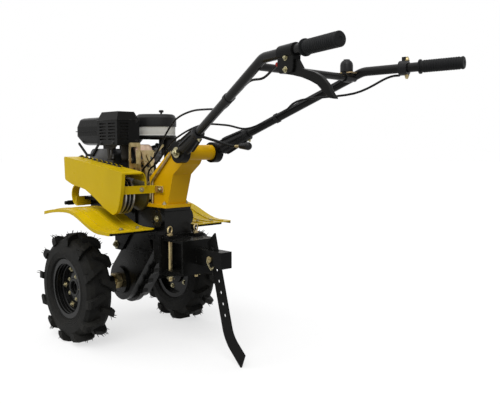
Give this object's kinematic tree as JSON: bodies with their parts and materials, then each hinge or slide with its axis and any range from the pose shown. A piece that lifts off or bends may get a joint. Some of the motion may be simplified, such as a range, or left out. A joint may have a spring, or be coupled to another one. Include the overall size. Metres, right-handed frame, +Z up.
{
  "type": "hand tractor (two-wheel walking tractor)",
  "caption": "Yellow and black two-wheel walking tractor with lugged tyres, petrol engine, belt cover, slanted gearbox, drag bar and flared handlebar.",
  "frame": {"origin": "on the ground under the middle of the whole machine, between handlebar ends and bumper", "axes": "+X forward, +Y to the machine's left, +Z up"},
  "size_m": [1.5962, 0.614, 1.0192],
  "materials": {
    "yellow_paint": "gloss",
    "black_paint": "satin",
    "olive_paint": "satin",
    "cast_aluminium": "satin",
    "grey_iron": "satin",
    "zinc": "gloss",
    "black_plastic": "satin",
    "pale_plastic": "satin",
    "rubber": "matte",
    "tyre": "matte"
  },
  "bodies": {
    "chassis": {"gearbox_case": "black_paint", "input_housing": "olive_paint", "engine_bed": "black_paint", "fender_front_bracket": "yellow_paint", "front_bumper": "black_paint", "fender_rear_brackets": "black_paint", "fender_left": "yellow_paint", "fender_right": "yellow_paint", "belt_cover": "yellow_paint", "cover_strap": "yellow_paint", "column": "yellow_paint", "crankcase": "cast_aluminium", "cylinder_barrel": "cast_aluminium", "silencer": "grey_iron", "silencer_guard": "black_paint", "fuel_tank": "black_paint", "tank_cap": "black_plastic", "air_cleaner_lid": "black_plastic", "air_cleaner_band": "pale_plastic", "air_cleaner_base": "black_plastic", "carburettor": "cast_aluminium", "fan_cowl": "black_paint", "recoil_starter": "black_paint", "control_plate": "zinc", "engine_pulley": "grey_iron", "gearbox_pulley": "grey_iron", "drive_belts": "rubber", "gear_lever": "zinc", "gear_grip": "black_plastic", "hitch_bracket": "black_paint", "hitch_frame": "black_paint", "hitch_pins": "zinc", "drag_pin": "zinc", "clutch_cable_span": "rubber", "throttle_cable_span": "rubber"},
    "drag_bar_body": {"drag_bar": "black_paint"},
    "handlebar_body": {"handle_clamps": "black_paint", "handlebar": "black_paint", "grips": "rubber", "clutch_bracket": "black_paint", "clutch_lever": "black_paint", "throttle_lever": "black_plastic", "stop_switch": "black_plastic", "clutch_cable": "rubber", "throttle_cable": "rubber"},
    "wheel_left": {"tyre_left": "tyre", "rim_left": "black_paint", "hub_left": "zinc"},
    "wheel_right": {"tyre_right": "tyre", "rim_right": "black_paint", "hub_right": "zinc"}
  },
  "joints": [
    {"name": "wheel_left_spin", "type": "hinge", "parent": "chassis", "child": "wheel_left", "pos_m": [0.50514, 0.25, 0.21], "axis": [0, 1, 0], "continuous": true},
    {"name": "wheel_right_spin", "type": "hinge", "parent": "chassis", "child": "wheel_right", "pos_m": [0.50514, -0.25, 0.21], "axis": [0, 1, 0], "continuous": true},
    {"name": "handlebar_tilt", "type": "hinge", "parent": "chassis", "child": "handlebar_body", "pos_m": [0.06514, 0, 0.73], "axis": [0, 1, 0], "range_deg": [-15, 20], "deforming": ["clutch_cable_span", "throttle_cable_span"]},
    {"name": "drag_bar_depth", "type": "slide", "parent": "chassis", "child": "drag_bar_body", "axis": [0.2588, 0, 0.9659], "range_m": [0, 0.16]}
  ]
}
